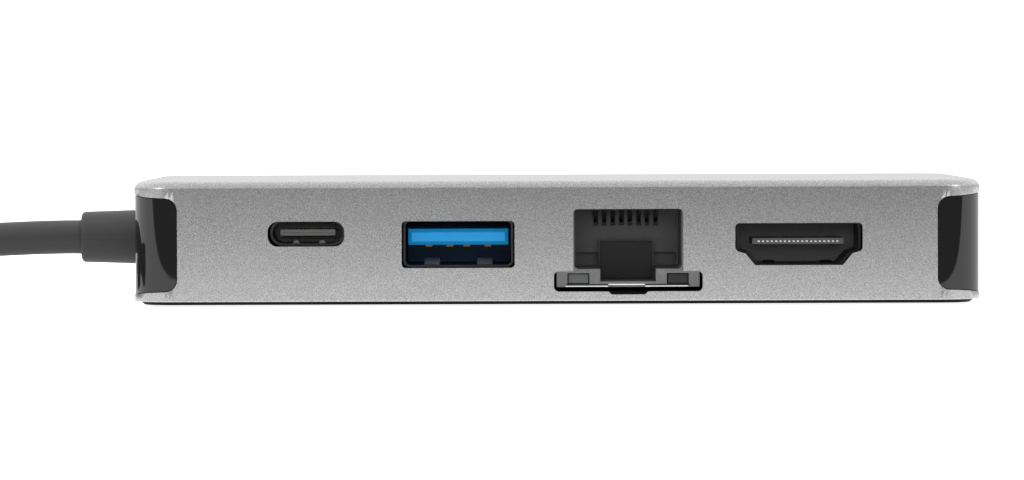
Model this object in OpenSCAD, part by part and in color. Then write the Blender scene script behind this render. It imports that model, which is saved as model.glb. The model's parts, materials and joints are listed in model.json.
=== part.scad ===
/* [Body] */
// Width of the housing, end to end
body_w = 101; // [92:1:140]
// Depth of the housing, front to back
body_d = 50; // [46:1:80]
// Height from the table to the top face
body_h = 15; // [14.6:0.1:20]
// Radius of the four upright corners
corner_r = 5; // [4:0.5:8]
// Radius of the rolled top edge
edge_r = 1.28; // [0.8:0.02:1.4]
// Angle off vertical at which the rolled edge starts
edge_tilt = 15; // [0:1:30]
// Thickness of the front and rear walls
wall = 1.2; // [1:0.1:1.8]
// Thickness of the top
top_wall = 1.5; // [1:0.1:1.6]
// Width of the housing's rim across each end
end_rim = 1.6; // [1.4:0.1:2.4]

/* [Underside] */
// Height of the base plate above the table
base_gap = 0.25; // [0.1:0.05:1]
// How far the base plate stands out below the housing
plate_reveal = 0.4; // [0.2:0.05:0.8]
// How far the plate's lip lies in from the housing's skin
plate_lip_in = 0.8; // [0.5:0.05:1]
// Thickness of the base plate
plate_t = 1.5; // [1.3:0.1:1.6]
// Diameter of a rubber foot
foot_d = 8; // [7:0.5:10]
// Depth of the pocket that holds a foot
foot_pocket = 0.65; // [0.4:0.05:0.8]
// Distance of the feet and base screws from the ends
foot_from_end = 7; // [6:0.1:8]
// Distance of the feet and base screws from the centre line
foot_y = 12; // [10:0.5:16]
// Shank diameter of a base screw
base_screw_d = 2; // [1.6:0.1:2.4]

/* [End caps] */
// Visible width of an end cap on the front face
cap_w = 5.4; // [3.5:0.1:6]
// Height of the aluminium lip below an end cap
cap_lip = 1.18; // [1:0.02:2]
// Depth of the aluminium above an end cap
cap_brow = 2.05; // [1.8:0.05:3]
// Radius of the inner corners of the end window
cap_r = 1.45; // [0.5:0.05:3]
// Wall of an end cap
cap_wall = 1.6; // [1.2:0.1:2]
// How far the cap lies below the housing's skin
cap_inset = 0.09; // [0.02:0.01:0.3]
// Gap round a cap
cap_gap = 0.08; // [0.04:0.01:0.2]
// Flare of the window round the corner, height over depth
cap_flare = 0.11; // [0:0.01:0.12]

/* [Boards] */
// Clear height of the posts under the main board
post_h = 1.65; // [1.2:0.05:2.2]
// Thickness of the main board
board_t = 1.2; // [0.8:0.1:1.6]
// Thickness of the power board
power_t = 1; // [0.8:0.1:1.2]
// Width of the power board
power_w = 18.5; // [14:0.5:19]
// Depth of the power board
power_d = 17; // [12:0.5:18]
// Shank diameter of a board screw
board_screw_d = 1.6; // [1.4:0.1:2]

/* [Reversible port] */
// Distance of the reversible port from the centre, to the left
rev_from_mid = 29.65; // [28.6:0.05:32]
// Height of the reversible port's centre above the main board
rev_rise = 4.23; // [3.8:0.01:4.5]
// Width inside the reversible port
rev_w = 8.34; // [8.3:0.01:8.5]
// Height inside the reversible port
rev_h = 2.56; // [2.5:0.01:2.7]

/* [Data port] */
// Distance of the data port from the centre, to the left
data_from_mid = 11.77; // [11:0.01:12]
// Width inside the data port
data_w = 12.5; // [12.4:0.05:12.8]
// Height inside the data port
data_h = 5.12; // [5:0.02:5.3]

/* [Network jack] */
// Distance of the network jack from the centre, to the right
net_from_mid = 8.4; // [8:0.1:9]
// Width of the jack
net_w = 17; // [16:0.1:17.4]
// Height of the jack
net_h = 10.3; // [10:0.1:10.6]
// How far the jack sinks below the top of the main board
net_sink = 2.35; // [2:0.05:2.6]
// Depth of the jack
net_d = 16; // [14:0.5:18]
// Width of the plug space
net_mouth_w = 12.75; // [11.9:0.05:12.8]
// Pitch of the eight contacts
net_pitch = 1.04; // [1.02:0.01:1.1]

/* [Video port] */
// Distance of the video port from the centre, to the right
video_from_mid = 28.65; // [27.5:0.05:31]
// Width inside the video port
video_w = 14.2; // [14:0.05:14.4]
// Height inside the video port
video_h = 4.75; // [4.6:0.05:4.9]

/* [Cable] */
// Diameter of the cable
cable_d = 4.2; // [3.5:0.1:4.5]
// Height of the cable's axis where it leaves the left end
cable_z = 7.8; // [6.5:0.1:8]
// Diameter of the strain relief at the cap
relief_d = 6.7; // [5.5:0.05:7]
// Diameter of the strain relief at its free end
relief_tip_d = 6.25; // [5.2:0.05:6.8]
// Length of the strain relief outside the cap
relief_len = 8.3; // [6:0.1:12]
// Length of the plug's grip
grip_len = 25; // [20:1:32]
// Width of the plug's grip
grip_w = 12.35; // [11:0.05:13]
// Height of the plug's grip
grip_h = 6.5; // [5.5:0.1:7]

/* [Hidden] */
$fn = 64;

// Clearances
fit_gap = 0.05;
screw_gap = 0.05;
seat_gap = 0.02;
cut_over = 1;
round_end_flat = 0.001;

// Heights
rim_z = base_gap + plate_reveal;
plate_top = base_gap + plate_t;
board_z = plate_top + post_h;
board_top = board_z + board_t;
ceiling_z = body_h - top_wall;
seat_z = board_top + fit_gap;

// Rolled top edge, and the height of its centre; it meets the top at a slight angle
edge_top_tilt = 4;
edge_in = edge_r * cos(edge_tilt);
roll_z = body_h - edge_r * cos(edge_top_tilt);

// Inner faces
front_y = -body_d / 2;
port_y = front_y + wall + fit_gap;
window_x = body_w / 2 - cap_w;
window_low = rim_z + cap_lip;
window_high = body_h - cap_brow;
flare_run = corner_r - wall - 0.2;

// Underside
foot_x = body_w / 2 - foot_from_end;
foot_t = base_gap + foot_pocket;
pad_h = 1.25;
screw_head_d = 3.6;
screw_head_h = 1.1;
boss_d = 4.6;
boss_h = 6;
boss_z = plate_top + pad_h + fit_gap;
base_screw_len = 6;

// Boards
board_end = foot_x - boss_d / 2 - 0.7;
board_front = port_y + 0.45;
board_back = body_d / 2 - wall - 2.8;
post_d = 4.2;
board_head_d = 3;
board_head_h = 1;
power_z = board_top + rev_rise - rev_h / 2 - 0.35 - power_t;
power_x = -rev_from_mid;

// Ports
port_t = 0.3;
rev_x = -rev_from_mid;
rev_z = board_top + rev_rise;
rev_d = 9;
rev_cut_w = 9.1;
rev_cut_h = 2.96;
rev_cut_r = 1.2;
data_x = -data_from_mid;
data_z = seat_z + port_t + data_h / 2;
data_d = 14;
net_x = net_from_mid;
net_z = board_top - net_sink;
net_t = 0.25;
net_back = 12.5;
light_w = 2.6;
light_h = 1.3;
light_from_mid = 5.9;
light_z = 0.33;
latch_w = 6.6;
shelf_z = 2.15;
mouth_top = 9.55;
comb_z = 7;
comb_h = mouth_top - comb_z;
comb_slot = 0.58;
net_pin_d = 0.34;
video_x = video_from_mid;
video_z = seat_z + port_t + video_h / 2;
video_d = 11;

// Positions of the board screws, between the ports and behind them
gap_left_x = (data_x + data_w / 2 + net_x - net_w / 2) / 2;
gap_right_x = (net_x + net_w / 2 + video_x - video_w / 2) / 2;
board_screw_at = [
    [-board_end + 3, board_back - 3],
    [board_end - 3, board_back - 3],
    [gap_left_x, board_front + 4],
    [gap_right_x, board_front + 4]
];

// Chips and what lies on them
chip_h = 0.9;
chip_y = board_back - 7;
pad_t = 0.5;
chip_at = [-17, 7, 28];
chip_size = [9, 6, 9];
spreader_t = 0.8;

// Cable
cable_x = -body_w / 2 - relief_len;
inner_end_x = -body_w / 2 + 6;
clamp_len = 3;
header_x = -board_end + 2;
header_len = 5;
wire_d = 0.8;
relief_flange_d = 9.4;
relief_flange_t = 1.2;
relief_seat_x = -body_w / 2 + cap_inset + cap_wall;
boot_len = 6;
boot_d = 5.2;
plug_shell_len = 6.65;
plug_shell_w = 8.25;
plug_shell_h = 2.4;

// Route of the free cable, laid on the table beyond the left end
route = [
    [-58.8, 0, 7.8], [-60.5, 0, 7.8], [-67, 0, 7.6], [-76, -1, 7.1], [-85, -3, 5.8], [-94, -6, 4.2],
    [-103, -9, 2.8], [-112, -12, 2.2], [-121, -14, 2.1], [-130, -15.5, 2.1], [-139, -16, 2.1],
    [-149, -16, 2.1], [-160, -16, 2.1], [-168.5, -13.7, 2.1], [-174.7, -7.5, 2.1],
    [-177, 1, 2.1], [-174.7, 9.5, 2.1], [-168.5, 15.7, 2.1], [-160, 18, 2.1],
    [-150, 18, 2.1], [-142, 18, 2.2], [-134, 18, 2.9], [-127, 18, 3.25], [-121, 18, 3.25]
];
route_end = route[len(route) - 1];
grip_x = route_end[0] + boot_len;

// ---- Shared shapes ----

// Rounded rectangle about the origin, with fully round ends where wanted_r is half its height
module rounded_rect(w, h, wanted_r) {
    r = min(wanted_r, min(w, h) / 2 - round_end_flat);
    square([w - 2 * r, h], center = true);
    square([w, h - 2 * r], center = true);
    for (x = [-1, 1], y = [-1, 1])
        translate([x * (w / 2 - r), y * (h / 2 - r)])
            circle(r);
}

// Flat plate with the housing's outline drawn in by inset at the sides and end_inset at the ends
module outline_plate(inset, end_inset, z0, z1) {
    translate([0, 0, z0])
        linear_extrude(z1 - z0)
            rounded_rect(body_w - 2 * end_inset, body_d - 2 * inset, corner_r - max(inset, end_inset));
}

// Sweeps a flat shape along +Y, with its X across and its Y upright
module along_y(depth) {
    translate([0, depth, 0])
        rotate([90, 0, 0])
            linear_extrude(depth)
                children();
}

// Sweeps a flat shape along +X about the middle, with its X along Y and its Y upright
module along_x(width) {
    rotate([90, 0, 90])
        linear_extrude(width, center = true)
            children();
}

// Turns a profile, drawn as radius and distance, about an axis that runs along -X
module turned_along_x() {
    rotate([0, -90, 0])
        rotate_extrude()
            children();
}

// Block standing on a height, centred in X and Y
module block(size, x, y, z) {
    translate([x - size[0] / 2, y - size[1] / 2, z])
        cube(size);
}

// ---- Housing ----

// Section of the housing out to the wall at x = reach, with the rolled top edge
module edge_section(reach) {
    intersection() {
        translate([0, rim_z])
            square([reach, body_h - rim_z]);
        union() {
            square([reach, roll_z]);
            square([reach - edge_in, body_h]);
            translate([reach - edge_in, roll_z])
                circle(edge_r);
        }
    }
}

// Right half of the solid that the housing is cut from
module half_block() {
    flat_w = body_w / 2 - corner_r;
    flat_d = body_d - 2 * corner_r;
    rotate([90, 0, 90])
        linear_extrude(flat_w) {
            edge_section(body_d / 2);
            mirror([1, 0])
                edge_section(body_d / 2);
        }
    translate([flat_w, -flat_d / 2, 0])
        along_y(flat_d)
            edge_section(corner_r);
    for (side = [0, 1])
        translate([flat_w, (side - 0.5) * flat_d, 0])
            rotate([0, 0, 90 * (side - 1)])
                rotate_extrude(angle = 90)
                    edge_section(corner_r);
}

module housing_block() {
    half_block();
    mirror([1, 0, 0])
        half_block();
}

// Window at the right end, with every edge drawn in by gap
module end_window(gap) {
    low = window_low + gap;
    high = window_high - gap;
    from_x = window_x + gap;
    r = cap_r - gap;
    turn_x = from_x + r;
    rise = cap_flare * flare_run;
    half = body_d / 2;
    translate([0, -half - cut_over, 0])
        along_y(body_d + 2 * cut_over) {
            translate([turn_x, low])
                square([body_w, high - low]);
            translate([from_x, low + r])
                square([body_w, high - low - 2 * r]);
            for (z = [low + r, high - r])
                translate([turn_x, z])
                    circle(r);
        }
    translate([turn_x + body_w / 2, 0, 0])
        along_x(body_w)
            polygon([
                [-half, low], [-half + flare_run, low - rise], [half - flare_run, low - rise], [half, low],
                [half, high], [half - flare_run, high + rise], [-half + flare_run, high + rise], [-half, high]
            ]);
}

// Outline of the video port's cut-out
module video_outline(w, h, r) {
    knee = h * 0.31;
    foot_half = w / 2 - 2.35;
    step = 1.2;
    translate([0, h / 2 - 2 * r])
        rounded_rect(w, 4 * r, r);
    polygon([
        [-w / 2, h / 2 - r], [-w / 2, -h / 2 + knee + 0.45], [-w / 2 + 0.25, -h / 2 + knee + 0.12],
        [-w / 2 + step, -h / 2 + knee - 0.15], [-foot_half, -h / 2], [foot_half, -h / 2],
        [w / 2 - step, -h / 2 + knee - 0.15], [w / 2 - 0.25, -h / 2 + knee + 0.12],
        [w / 2, -h / 2 + knee + 0.45], [w / 2, h / 2 - r]
    ]);
}

// Openings in the front wall for the four ports
module port_cutouts() {
    jack_cut_w = 13.06;
    jack_cut_top = net_z + 9.28;
    slot_w = 17.65;
    slot_low = net_z - 0.5;
    slot_high = net_z + 1.91;
    slot_r = 0.6;
    notch_low = net_z - 0.86;
    translate([0, front_y - cut_over, 0])
        along_y(wall + 2 * cut_over) {
            translate([rev_x - 0.15, rev_z - 0.15])
                rounded_rect(rev_cut_w, rev_cut_h, rev_cut_r);
            translate([data_x, data_z - 0.12])
                rounded_rect(data_w + 0.9, data_h + 0.46, 0.5);
            translate([net_x, jack_cut_top - 3])
                rounded_rect(jack_cut_w, 6, 0.55);
            translate([net_x - jack_cut_w / 2, slot_high - slot_r])
                square([jack_cut_w, jack_cut_top - slot_high - 1]);
            translate([net_x, (slot_low + slot_high) / 2])
                rounded_rect(slot_w, slot_high - slot_low, slot_r);
            translate([net_x, notch_low])
                polygon([[-2, 0], [2, 0], [2.4, 0.4], [-2.4, 0.4]]);
            translate([video_x, video_z - 0.02])
                video_outline(video_w + 0.9, video_h + 0.25, 0.5);
        }
}

module housing_shell() {
    color([0.66, 0.66, 0.67])
        difference() {
            housing_block();
            outline_plate(wall, end_rim, rim_z - cut_over, ceiling_z);
            end_window(0);
            mirror([1, 0, 0])
                end_window(0);
            port_cutouts();
        }
}

// ---- End caps ----

// Cap for the right end, without the cable hole
module end_cap() {
    flange_x = window_x - 1.6;
    flange_low = plate_top + pad_h + 0.3;
    flange_in = wall + fit_gap;
    difference() {
        union() {
            intersection() {
                difference() {
                    outline_plate(cap_inset, cap_inset, rim_z, ceiling_z);
                    outline_plate(cap_inset + cap_wall, cap_inset + cap_wall, 0, body_h);
                    outline_plate(wall, end_rim, 0, plate_top + fit_gap);
                }
                end_window(cap_gap);
            }
            intersection() {
                difference() {
                    outline_plate(flange_in, end_rim + fit_gap, flange_low, ceiling_z - fit_gap);
                    outline_plate(flange_in + cap_wall, end_rim + 1, 0, body_h);
                }
                translate([flange_x, -body_d, 0])
                    cube([body_w, 2 * body_d, body_h]);
            }
            for (y = [-foot_y, foot_y]) {
                translate([foot_x, y, boss_z])
                    cylinder(d = boss_d, h = boss_h);
                translate([foot_x, y - 0.6, boss_z])
                    cube([body_w / 2 - cap_wall - foot_x, 1.2, boss_h]);
            }
        }
        for (y = [-foot_y, foot_y])
            translate([foot_x, y, boss_z - cut_over])
                cylinder(d = base_screw_d + 2 * screw_gap, h = base_screw_len + cut_over);
    }
}

module end_cap_right() {
    color([0.05, 0.05, 0.055])
        end_cap();
}

module end_cap_left() {
    seat_depth = 4;
    color([0.05, 0.05, 0.055])
        difference() {
            mirror([1, 0, 0])
                end_cap();
            translate([relief_seat_x, 0, cable_z])
                turned_along_x()
                    square([relief_d / 2 + fit_gap, 6]);
            translate([relief_seat_x + seat_depth, 0, cable_z])
                turned_along_x()
                    square([relief_flange_d / 2 + fit_gap, seat_depth]);
        }
}

// ---- Underside ----

module base_plate() {
    color([0.06, 0.06, 0.065])
        difference() {
            union() {
                outline_plate(wall + fit_gap, end_rim + fit_gap, base_gap, plate_top);
                outline_plate(plate_lip_in, plate_lip_in, base_gap, rim_z - seat_gap);
                for (x = [-foot_x, foot_x], y = [-foot_y, foot_y])
                    translate([x, y, plate_top - fit_gap])
                        cylinder(d = boss_d, h = pad_h + fit_gap);
                for (p = board_screw_at)
                    translate([p[0], p[1], plate_top - fit_gap])
                        cylinder(d = post_d, h = post_h + fit_gap);
            }
            for (x = [-foot_x, foot_x], y = [-foot_y, foot_y])
                translate([x, y, base_gap]) {
                    translate([0, 0, -cut_over])
                        cylinder(d = foot_d + 2 * fit_gap, h = foot_pocket + cut_over);
                    cylinder(d = screw_head_d + 2 * screw_gap, h = foot_pocket + screw_head_h);
                    cylinder(d = base_screw_d + 2 * screw_gap, h = plate_t + pad_h + cut_over);
                }
            for (p = board_screw_at)
                translate([p[0], p[1], plate_top - 0.6])
                    cylinder(d = board_screw_d + 2 * screw_gap, h = post_h + cut_over);
        }
}

module rubber_feet() {
    color([0.09, 0.09, 0.09])
        for (x = [-foot_x, foot_x], y = [-foot_y, foot_y])
            translate([x, y, 0])
                rotate_extrude()
                    polygon([[0, 0], [foot_d / 2 - 0.15, 0], [foot_d / 2, 0.15],
                        [foot_d / 2, foot_t - fit_gap], [0, foot_t - fit_gap]]);
}

// Pan head screw with a cross recess, head at the bottom, tip up
module screw(shank_d, shank_len, head_d, head_h) {
    recess = head_h * 0.55;
    difference() {
        union() {
            cylinder(d = head_d, h = head_h);
            cylinder(d = shank_d, h = head_h + shank_len);
        }
        for (turn = [0, 90])
            rotate([0, 0, turn])
                translate([-head_d * 0.3, -head_d * 0.07, -recess])
                    cube([head_d * 0.6, head_d * 0.14, 2 * recess]);
    }
}

module base_screws() {
    color([0.45, 0.45, 0.47])
        for (x = [-foot_x, foot_x], y = [-foot_y, foot_y])
            translate([x, y, foot_t + seat_gap])
                screw(base_screw_d, base_screw_len, screw_head_d, screw_head_h - 2 * seat_gap);
}

// ---- Boards ----

module main_board() {
    notch_w = net_w + 0.8;
    notch_d = net_d + 0.5;
    color([0.03, 0.22, 0.12])
        difference() {
            translate([-board_end, board_front, board_z])
                cube([2 * board_end, board_back - board_front, board_t]);
            translate([net_x - notch_w / 2, board_front - cut_over, board_z - cut_over])
                cube([notch_w, notch_d + cut_over, board_t + 2 * cut_over]);
            for (p = board_screw_at)
                translate([p[0], p[1], board_z - cut_over])
                    cylinder(d = board_screw_d + 0.3, h = board_t + 2 * cut_over);
        }
}

module board_screws() {
    color([0.5, 0.5, 0.52])
        for (p = board_screw_at)
            translate([p[0], p[1], board_top + board_head_h + seat_gap])
                rotate([180, 0, 0])
                    screw(board_screw_d, board_t + post_h, board_head_d, board_head_h);
}

module power_board() {
    color([0.03, 0.22, 0.12])
        translate([power_x - power_w / 2, board_front, power_z])
            cube([power_w, power_d, power_t]);
}

module board_link() {
    pins = 6;
    pitch = 2;
    strip_h = power_z - board_top - 2 * seat_gap;
    y = board_front + power_d - 2;
    color([0.12, 0.12, 0.12])
        block([pins * pitch, 1.8, strip_h], power_x, y, board_top + seat_gap);
}

// ---- Reversible port ----

module reversible_port_shell() {
    color([0.72, 0.72, 0.73])
        translate([rev_x, port_y, rev_z])
            difference() {
                along_y(rev_d)
                    rounded_rect(rev_w + 2 * port_t, rev_h + 2 * port_t, rev_h / 2 + port_t);
                translate([0, -cut_over, 0])
                    along_y(rev_d - port_t + cut_over)
                        rounded_rect(rev_w, rev_h, rev_h / 2);
            }
}

module reversible_port_tongue() {
    tongue_w = 6.69;
    tongue_h = 0.66;
    back_from = 6.2;
    color([0.32, 0.32, 0.33])
        translate([rev_x, port_y, rev_z]) {
            translate([0, 0.6, 0])
                along_y(back_from)
                    square([tongue_w, tongue_h], center = true);
            translate([0, back_from, 0])
                along_y(rev_d - back_from - port_t - seat_gap)
                    rounded_rect(rev_w - 2 * seat_gap, rev_h - 2 * seat_gap, rev_h / 2 - seat_gap);
        }
}

module reversible_port_contacts() {
    color([0.85, 0.66, 0.3])
        translate([rev_x, port_y, rev_z])
            for (n = [0 : 11], side = [-1, 1])
                translate([(n - 5.5) * 0.5 - 0.125, 1.4, side > 0 ? 0.33 : -0.38])
                    cube([0.25, 4.4, 0.05]);
}

// ---- Data port ----

// Wedge that stands up from a floor, for the grip springs of a port
module spring_tab(width, run, rise) {
    along_x(width)
        polygon([[0, 0], [run, rise], [run * 1.15, rise * 0.9], [run * 1.3, 0]]);
}

module data_port_shell() {
    tab_from_mid = 3.15;
    color([0.72, 0.72, 0.73])
        translate([data_x, port_y, data_z]) {
            difference() {
                along_y(data_d)
                    rounded_rect(data_w + 2 * port_t, data_h + 2 * port_t, 0.8);
                translate([0, -cut_over, 0])
                    along_y(data_d - port_t + cut_over)
                        rounded_rect(data_w, data_h, 0.5);
            }
            for (x = [-tab_from_mid, tab_from_mid], up = [0, 1])
                mirror([0, 0, up])
                    translate([x, 1.2, -data_h / 2 - 0.01])
                        spring_tab(1.66, 2.6, up == 1 ? 0.3 : 0.6);
        }
}

module data_port_tongue() {
    tongue_w = 11.9;
    low = -0.2;
    high = 1.7;
    bevel = 0.42;
    front = 0.5;
    back_from = 8.8;
    block_d = data_d - back_from - port_t - seat_gap;
    color([0.02, 0.45, 0.78])
        translate([data_x, port_y, data_z]) {
            intersection() {
                along_x(tongue_w)
                    polygon([[front, low + bevel], [front, high - bevel], [front + bevel, high],
                        [data_d - 1, high], [data_d - 1, low], [front + bevel, low]]);
                translate([0, 0, -data_h])
                    linear_extrude(2 * data_h)
                        polygon([[-tongue_w / 2 + bevel, front], [tongue_w / 2 - bevel, front],
                            [tongue_w / 2, front + bevel], [tongue_w / 2, data_d - 1],
                            [-tongue_w / 2, data_d - 1], [-tongue_w / 2, front + bevel]]);
            }
            translate([0, back_from, 0])
                along_y(block_d)
                    rounded_rect(data_w - 2 * seat_gap, data_h - 2 * seat_gap, 0.5);
        }
}

module data_port_contacts() {
    low = -0.2;
    color([0.8, 0.55, 0.3])
        translate([data_x, port_y, data_z])
            for (x = [-3.5, -1, 1, 3.5])
                translate([x - 0.5, 1, low - 0.2])
                    cube([1, 7.6, 0.18]);
}

// ---- Network jack ----

// Outline of the plug space seen from the front, measured from the jack's bottom
module plug_outline() {
    r = 0.5;
    translate([0, (shelf_z + mouth_top) / 2])
        rounded_rect(net_mouth_w, mouth_top - shelf_z, r);
    translate([-latch_w / 2, net_t + 0.4])
        square([latch_w, mouth_top / 2]);
}

module light_windows() {
    for (x = [-light_from_mid, light_from_mid])
        translate([x, light_z + light_h / 2])
            square([light_w, light_h], center = true);
}

module network_jack_shield() {
    color([0.62, 0.62, 0.64])
        translate([net_x, port_y, net_z])
            difference() {
                translate([-net_w / 2, 0, 0])
                    cube([net_w, net_d, net_h]);
                translate([-net_w / 2 + net_t, net_t, net_t])
                    cube([net_w - 2 * net_t, net_d - 2 * net_t, net_h - 2 * net_t]);
                translate([0, -cut_over, 0])
                    along_y(2 * cut_over) {
                        plug_outline();
                        light_windows();
                    }
            }
}

module network_jack_housing() {
    skin = net_t + seat_gap;
    slot_d = 1.6;
    panel_h = 5;
    recess_h = 1.5;
    color([0.2, 0.2, 0.205])
        translate([net_x, port_y, net_z])
            difference() {
                translate([-net_w / 2 + skin, skin, skin])
                    cube([net_w - 2 * skin, net_d - 2 * skin, net_h - 2 * skin]);
                difference() {
                    translate([0, -cut_over, 0])
                        along_y(net_back + cut_over)
                            plug_outline();
                    translate([-latch_w / 2 + 0.02, net_back - 2, net_t])
                        cube([latch_w - 0.04, 4, panel_h]);
                }
                translate([-net_mouth_w / 2 + 0.3, net_back - cut_over, shelf_z + 0.1])
                    cube([net_mouth_w - 0.6, cut_over + 1.5, recess_h]);
                for (n = [0 : 7])
                    translate([(n - 3.5) * net_pitch - comb_slot / 2, 1.2, comb_z])
                        cube([comb_slot, net_back + slot_d - 1.2, comb_h]);
                for (x = [-light_from_mid, light_from_mid])
                    translate([x, -cut_over, light_z + light_h / 2])
                        along_y(4 + cut_over)
                            square([light_w + 0.04, light_h + 0.04], center = true);
            }
}

module network_contacts() {
    start_y = 1.6;
    start_z = comb_z + comb_h - 0.25;
    end_y = net_back + 1;
    end_z = comb_z + 0.3;
    run = end_y - start_y;
    drop = start_z - end_z;
    color([0.85, 0.66, 0.3])
        translate([net_x, port_y, net_z])
            for (n = [0 : 7])
                translate([(n - 3.5) * net_pitch, start_y, start_z])
                    rotate([-90 - atan(drop / run), 0, 0])
                        cylinder(d = net_pin_d, h = norm([run, drop]), $fn = 16);
}

module network_light(side) {
    translate([net_x + side * light_from_mid, port_y + 0.06, net_z + light_z + light_h / 2])
        along_y(3.5)
            square([light_w - 0.04, light_h - 0.04], center = true);
}

module network_light_left() {
    color([0.42, 0.42, 0.41])
        network_light(-1);
}

module network_light_right() {
    color([0.24, 0.24, 0.24])
        network_light(1);
}

// ---- Video port ----

module video_port_shell() {
    tab_from_mid = 3.4;
    color([0.1, 0.1, 0.11])
        translate([video_x, port_y, video_z]) {
            difference() {
                along_y(video_d)
                    video_outline(video_w + 2 * port_t, video_h + 2 * port_t, 0.5);
                translate([0, -cut_over, 0])
                    along_y(video_d - port_t + cut_over)
                        video_outline(video_w, video_h, 0.35);
            }
            for (x = [-tab_from_mid, tab_from_mid])
                translate([x, 1.4, -video_h / 2 - 0.01])
                    spring_tab(1.4, 2.2, 0.35);
        }
}

module video_port_tongue() {
    tongue_w = 10.9;
    tongue_h = 0.74;
    rise = 0.28;
    back_from = 7.6;
    color([0.18, 0.18, 0.185])
        translate([video_x, port_y, video_z]) {
            translate([0, 1.1, rise])
                along_y(back_from)
                    square([tongue_w, tongue_h], center = true);
            translate([0, back_from, 0])
                along_y(video_d - back_from - port_t - seat_gap)
                    video_outline(video_w - 2 * seat_gap, video_h - 2 * seat_gap, 0.35);
        }
}

module video_port_contacts() {
    rise = 0.28;
    color([0.8, 0.78, 0.72])
        translate([video_x, port_y, video_z])
            for (n = [0 : 18])
                translate([(n - 9) * 0.52 - 0.13, 0.98, rise - 0.1])
                    cube([0.26, 0.1, 0.2]);
}

// ---- Electronics ----

module chip(n) {
    color([0.08, 0.08, 0.085])
        block([chip_size[n], chip_size[n], chip_h], chip_at[n], chip_y, board_top + seat_gap);
}

module hub_chip() {
    chip(0);
}

module network_chip() {
    chip(1);
}

module video_chip() {
    chip(2);
}

module power_chip() {
    color([0.08, 0.08, 0.085])
        block([5, 5, chip_h], power_x, board_front + 12.2, power_z + power_t + seat_gap);
}

module network_transformer() {
    y = port_y + net_d + 5;
    color([0.07, 0.07, 0.07])
        block([12.7, 6.6, 3.6], net_x, y, board_top + seat_gap);
}

module crystals() {
    color([0.75, 0.75, 0.76])
        for (x = chip_at)
            block([3.2, 1.5, 0.8], x, chip_y - 6, board_top + seat_gap);
}

module power_inductors() {
    color([0.25, 0.25, 0.26])
        for (n = [0 : 2])
            block([4, 4, 2], -board_end + 5.5 + n * 5, chip_y - 4.5, board_top + seat_gap);
}

module capacitors() {
    color([0.7, 0.7, 0.71])
        for (n = [0 : 2])
            translate([board_end - 4.5, n * 5.5 - 8, board_top + seat_gap])
                cylinder(d = 4, h = 5.2);
}

module small_capacitors() {
    color([0.6, 0.48, 0.35])
        for (x = chip_at, n = [0 : 3])
            block([1, 0.5, 0.5], x - 3 + 2 * n, chip_y - 8, board_top + seat_gap);
}

module thermal_pads() {
    color([0.55, 0.6, 0.68])
        for (n = [0 : 2])
            block([chip_size[n], chip_size[n], pad_t], chip_at[n], chip_y, board_top + chip_h + 2 * seat_gap);
}

module heat_spreader() {
    color([0.7, 0.71, 0.72])
        block([56, 11, spreader_t], (chip_at[0] + chip_at[2]) / 2, chip_y,
            board_top + chip_h + pad_t + 3 * seat_gap);
}

// ---- Cable inside the housing ----

module wire_header() {
    color([0.85, 0.84, 0.8])
        translate([header_x, -4, board_top + seat_gap])
            cube([header_len, 8, cable_z + 1.4 - board_top]);
}

module cable_wires() {
    run = header_x - inner_end_x - 2 * seat_gap;
    color([0.2, 0.35, 0.6])
        for (n = [0 : 3], row = [-1, 1])
            translate([inner_end_x + seat_gap, (n - 1.5), cable_z + row * 0.45])
                rotate([0, 90, 0])
                    cylinder(d = wire_d, h = run, $fn = 24);
}

module cable_inner_end() {
    color([0.16, 0.16, 0.165])
        translate([inner_end_x, 0, cable_z])
            rotate([0, -90, 0])
                cylinder(d = cable_d, h = inner_end_x - cable_x);
}

module cable_clamp() {
    color([0.75, 0.75, 0.76])
        translate([inner_end_x - 0.4, 0, cable_z])
            turned_along_x()
                translate([cable_d / 2 + seat_gap, 0])
                    square([0.7, clamp_len - 0.4]);
}

module strain_relief() {
    bore_r = cable_d / 2 + seat_gap;
    tip_r = 0.5;
    flange_from = relief_seat_x + fit_gap + relief_flange_t;
    neck = relief_flange_t;
    tip = flange_from - cable_x;
    out = relief_tip_d / 2 - tip_r;
    color([0.2, 0.2, 0.205])
        translate([flange_from, 0, cable_z])
            turned_along_x()
                polygon(concat(
                    [[bore_r, 0], [relief_flange_d / 2, 0], [relief_flange_d / 2, neck],
                        [relief_d / 2, neck], [relief_d / 2, neck + 2]],
                    [for (a = [0 : 15 : 90]) [out + tip_r * cos(a), tip - tip_r + tip_r * sin(a)]],
                    [[bore_r, tip]]
                ));
}

// ---- Free cable and plug ----

// Direction of the route at point i
function heading(i) =
    let (a = route[max(i - 1, 0)], b = route[min(i + 1, len(route) - 1)])
    (b - a) / norm(b - a);

// Ring of points round the route at point i, square to it
function ring(i, sides, r) =
    let (t = heading(i), side = cross(t, [0, 0, 1]), s = side / norm(side), u = cross(s, t))
    [for (k = [0 : sides - 1]) route[i] + r * (cos(360 * k / sides) * s + sin(360 * k / sides) * u)];

module cable() {
    sides = 12;
    rings = len(route);
    points = [for (i = [0 : rings - 1]) each ring(i, sides, cable_d / 2)];
    walls = [for (i = [0 : rings - 2], k = [0 : sides - 1])
        [i * sides + k, i * sides + (k + 1) % sides, (i + 1) * sides + (k + 1) % sides, (i + 1) * sides + k]];
    first = [[for (k = [sides - 1 : -1 : 0]) k]];
    last = [[for (k = [0 : sides - 1]) (rings - 1) * sides + k]];
    color([0.16, 0.16, 0.165])
        polyhedron(points, concat(walls, first, last), convexity = 6);
}

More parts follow.
